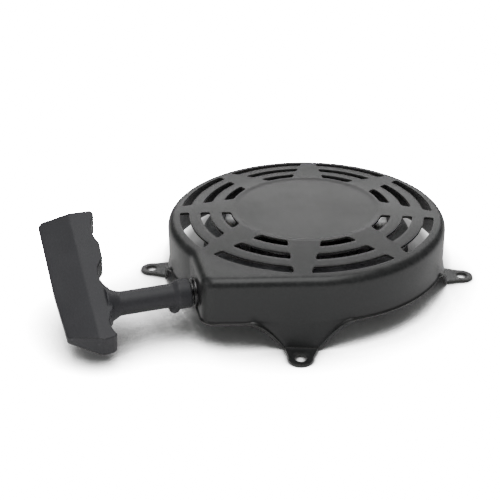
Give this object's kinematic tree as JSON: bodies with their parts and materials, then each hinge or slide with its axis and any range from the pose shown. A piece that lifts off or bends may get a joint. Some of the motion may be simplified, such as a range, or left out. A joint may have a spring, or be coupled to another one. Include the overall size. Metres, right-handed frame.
{
  "type": "recoil starter",
  "caption": "Recoil starter for a small engine: a vented steel housing on feet with a rope reel, a rewind spring, swinging pawls and a T grip on its rope.",
  "frame": {"origin": "centre of the bolt circle, on the mounting plane under the four feet", "axes": "+Z along the reel's axis, from the engine towards the domed top; +X and +Y through two feet; the rope leaves towards -X and a little towards -Y"},
  "size_m": [0.2631, 0.2195, 0.0572],
  "materials": {
    "housing_paint": "satin black paint on pressed steel",
    "eyelet_metal": "worn bright steel",
    "bright_steel": "turned",
    "zinc": "zinc plated",
    "spring_steel": "blued spring steel",
    "hard_steel": "hardened and tumbled",
    "reel_plastic": "moulded nylon",
    "rope": "braided nylon",
    "fibre": "pressed fibre",
    "grip_plastic": "finely grained charcoal plastic"
  },
  "bodies": {
    "housing": {"housing": "housing_paint", "rope_eyelet": "eyelet_metal", "center_post": "bright_steel", "center_screw": "zinc", "rope_lead": "rope"},
    "reel": {"reel": "reel_plastic", "rewind_spring": "spring_steel", "spring_cover": "zinc", "rope_winding": "rope", "reel_knot": "rope", "pawl_pin_1": "bright_steel", "pawl_pin_2": "bright_steel"},
    "friction_plate": {"friction_plate": "zinc", "friction_spring": "spring_steel", "brake_washer": "fibre"},
    "pawl_1": {"pawl_1": "hard_steel"},
    "pawl_2": {"pawl_2": "hard_steel"},
    "grip": {"grip": "grip_plastic", "grip_knot": "rope"}
  },
  "joints": [
    {"name": "reel_spin", "type": "hinge", "parent": "housing", "child": "reel", "pos_m": [0, 0, 0.0255], "axis": [0, 0, -1], "range_deg": [0, 1200], "stiffness_Nm_per_rad": 0.012, "springref_deg": -1432.39, "deforming": ["rewind_spring"]},
    {"name": "grip_pull", "type": "slide", "parent": "housing", "child": "grip", "axis": [-0.9336, -0.3584, 0], "range_m": [0, 1.257], "deforming": ["rope_lead"]},
    {"name": "plate_drag", "type": "hinge", "parent": "reel", "child": "friction_plate", "pos_m": [0, 0, 0.0141], "axis": [0, 0, 1], "range_deg": [0, 25]},
    {"name": "pawl_1_swing", "type": "hinge", "parent": "reel", "child": "pawl_1", "pos_m": [0.023, 0, 0.0172], "axis": [0, 0, 1], "range_deg": [0, 30]},
    {"name": "pawl_2_swing", "type": "hinge", "parent": "reel", "child": "pawl_2", "pos_m": [-0.023, 0, 0.0172], "axis": [0, 0, 1], "range_deg": [0, 30]}
  ],
  "couplings": [
    {"joint": "grip_pull", "follows": "reel_spin", "m_per_rad": 0.06},
    {"joint": "pawl_1_swing", "follows": "plate_drag", "ratio": 1.2},
    {"joint": "pawl_2_swing", "follows": "plate_drag", "ratio": 1.2}
  ]
}
